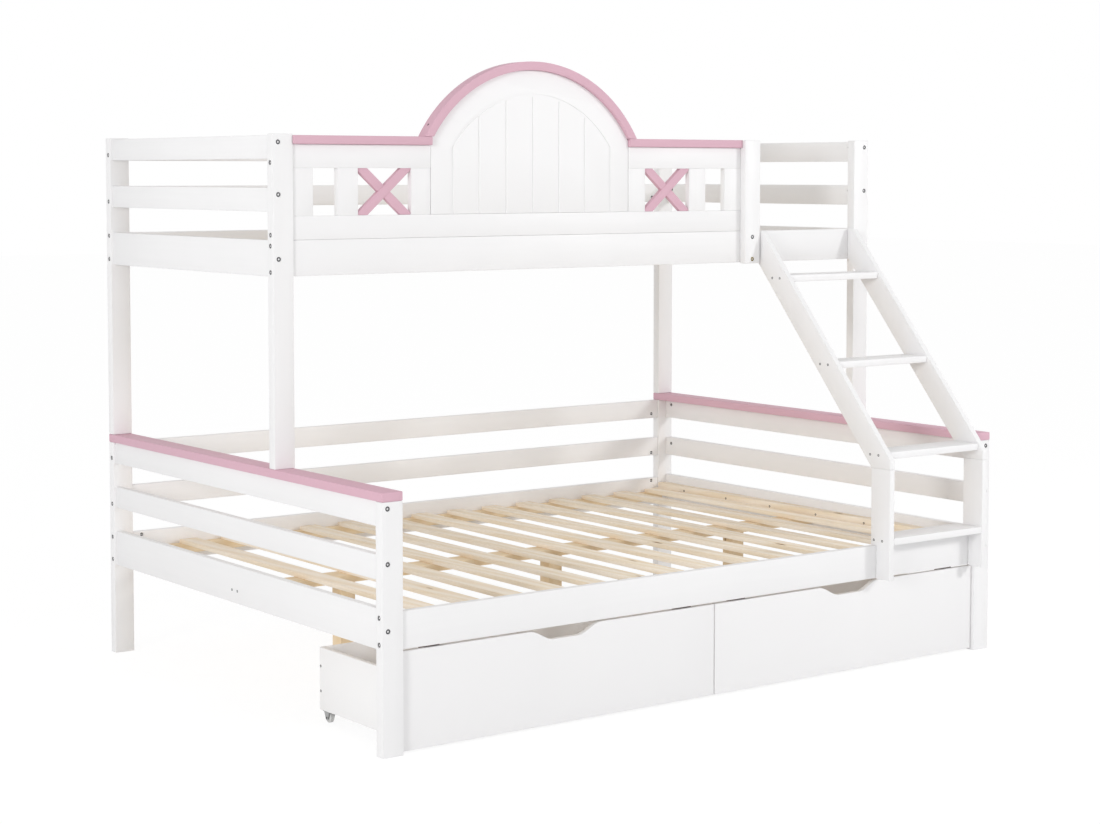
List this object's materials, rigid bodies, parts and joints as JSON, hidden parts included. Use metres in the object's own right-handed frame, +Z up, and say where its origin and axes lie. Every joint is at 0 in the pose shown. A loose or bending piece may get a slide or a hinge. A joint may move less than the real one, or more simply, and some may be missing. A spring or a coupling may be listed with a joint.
{
  "type": "bunk bed",
  "caption": "Single-over-double bunk bed of painted boards with arched guard panel, slanted ladder, slatted decks and two rolling drawers under the lower bed.",
  "frame": {"origin": "on the floor, under the middle of the whole bed with its ladder", "axes": "+X along the bed towards the ladder end, +Y from the open front to the back, +Z up"},
  "size_m": [2.06, 1.511, 1.6724],
  "materials": {
    "white_paint": "satin white paint on wood",
    "pink_paint": "satin pink paint on wood",
    "drawer_board": "satin white paint on fibreboard",
    "pine": "planed, unpainted",
    "castor_plastic": "matt",
    "steel_fastener": "zinc plated",
    "brass_fastener": "yellow zinc plated",
    "stop_block_board": "raw brown fibreboard"
  },
  "bodies": {
    "bed_frame": {"lower_post_front_left": "white_paint", "lower_post_back_left": "white_paint", "lower_post_front_right": "white_paint", "lower_post_back_right": "white_paint", "upper_leg_front_left": "white_paint", "upper_leg_back_left": "white_paint", "upper_leg_front_right": "white_paint", "upper_leg_back_right": "white_paint", "cap_board_left": "pink_paint", "cap_board_right": "pink_paint", "lower_end_top_rail_left": "white_paint", "lower_end_middle_rail_left": "white_paint", "lower_end_bed_rail_left": "white_paint", "lower_end_top_rail_right": "white_paint", "lower_end_middle_rail_right": "white_paint", "lower_end_bed_rail_right": "white_paint", "upper_end_top_rail_left": "white_paint", "upper_end_middle_rail_left": "white_paint", "upper_end_bed_rail_left": "white_paint", "upper_end_top_rail_right": "white_paint", "upper_end_middle_rail_right": "white_paint", "upper_end_bed_rail_right": "white_paint", "lower_back_top_rail": "white_paint", "lower_back_middle_rail": "white_paint", "lower_back_bed_rail": "white_paint", "lower_front_bed_rail": "white_paint", "upper_back_top_rail": "white_paint", "upper_back_middle_rail": "white_paint", "upper_back_bed_rail": "white_paint", "upper_front_bed_rail": "white_paint", "lower_slat_deck": "pine", "upper_slat_deck": "pine", "centre_beam": "pine", "guard_panel_frame": "white_paint", "arch_panel": "white_paint", "arch_trim": "pink_paint", "guard_cap_left": "pink_paint", "guard_cap_right": "pink_paint", "cross_brace_left": "pink_paint", "cross_brace_right": "pink_paint", "guard_post": "white_paint", "ladder_stringer_left": "white_paint", "ladder_stringer_right": "white_paint", "ladder_tread_1": "white_paint", "ladder_tread_2": "white_paint", "ladder_tread_3": "white_paint", "ladder_tread_4": "white_paint"},
    "left_drawer": {"drawer_front_left": "drawer_board", "drawer_box_left": "drawer_board"},
    "right_drawer": {"drawer_front_right": "drawer_board", "drawer_box_right": "drawer_board"},
    "left_drawer_wheel_front_left": {"castor_wheel_left_front_left": "castor_plastic"},
    "left_drawer_wheel_front_right": {"castor_wheel_left_front_right": "castor_plastic"},
    "left_drawer_wheel_back_left": {"castor_wheel_left_back_left": "castor_plastic"},
    "left_drawer_wheel_back_right": {"castor_wheel_left_back_right": "castor_plastic"},
    "right_drawer_wheel_front_left": {"castor_wheel_right_front_left": "castor_plastic"},
    "right_drawer_wheel_front_right": {"castor_wheel_right_front_right": "castor_plastic"},
    "right_drawer_wheel_back_left": {"castor_wheel_right_back_left": "castor_plastic"},
    "right_drawer_wheel_back_right": {"castor_wheel_right_back_right": "castor_plastic"}
  },
  "joints": [
    {"name": "left_drawer_slide", "type": "slide", "parent": "bed_frame", "child": "left_drawer", "axis": [0, -1, 0], "range_m": [0, 0.46]},
    {"name": "right_drawer_slide", "type": "slide", "parent": "bed_frame", "child": "right_drawer", "axis": [0, -1, 0], "range_m": [0, 0.46]},
    {"name": "left_drawer_spin_front_left", "type": "hinge", "parent": "left_drawer", "child": "left_drawer_wheel_front_left", "pos_m": [-0.949, -0.6547, 0.013], "axis": [1, 0, 0], "continuous": true},
    {"name": "left_drawer_spin_front_right", "type": "hinge", "parent": "left_drawer", "child": "left_drawer_wheel_front_right", "pos_m": [-0.023, -0.6547, 0.013], "axis": [1, 0, 0], "continuous": true},
    {"name": "left_drawer_spin_back_left", "type": "hinge", "parent": "left_drawer", "child": "left_drawer_wheel_back_left", "pos_m": [-0.949, -0.3307, 0.013], "axis": [1, 0, 0], "continuous": true},
    {"name": "left_drawer_spin_back_right", "type": "hinge", "parent": "left_drawer", "child": "left_drawer_wheel_back_right", "pos_m": [-0.023, -0.3307, 0.013], "axis": [1, 0, 0], "continuous": true},
    {"name": "right_drawer_spin_front_left", "type": "hinge", "parent": "right_drawer", "child": "right_drawer_wheel_front_left", "pos_m": [0.023, -0.6547, 0.013], "axis": [1, 0, 0], "continuous": true},
    {"name": "right_drawer_spin_front_right", "type": "hinge", "parent": "right_drawer", "child": "right_drawer_wheel_front_right", "pos_m": [0.949, -0.6547, 0.013], "axis": [1, 0, 0], "continuous": true},
    {"name": "right_drawer_spin_back_left", "type": "hinge", "parent": "right_drawer", "child": "right_drawer_wheel_back_left", "pos_m": [0.023, -0.3307, 0.013], "axis": [1, 0, 0], "continuous": true},
    {"name": "right_drawer_spin_back_right", "type": "hinge", "parent": "right_drawer", "child": "right_drawer_wheel_back_right", "pos_m": [0.949, -0.3307, 0.013], "axis": [1, 0, 0], "continuous": true}
  ],
  "couplings": [
    {"joint": "left_drawer_spin_front_left", "follows": "left_drawer_slide", "rad_per_m": 76.923},
    {"joint": "left_drawer_spin_front_right", "follows": "left_drawer_slide", "rad_per_m": 76.923},
    {"joint": "left_drawer_spin_back_left", "follows": "left_drawer_slide", "rad_per_m": 76.923},
    {"joint": "left_drawer_spin_back_right", "follows": "left_drawer_slide", "rad_per_m": 76.923},
    {"joint": "right_drawer_spin_front_left", "follows": "right_drawer_slide", "rad_per_m": 76.923},
    {"joint": "right_drawer_spin_front_right", "follows": "right_drawer_slide", "rad_per_m": 76.923},
    {"joint": "right_drawer_spin_back_left", "follows": "right_drawer_slide", "rad_per_m": 76.923},
    {"joint": "right_drawer_spin_back_right", "follows": "right_drawer_slide", "rad_per_m": 76.923}
  ]
}
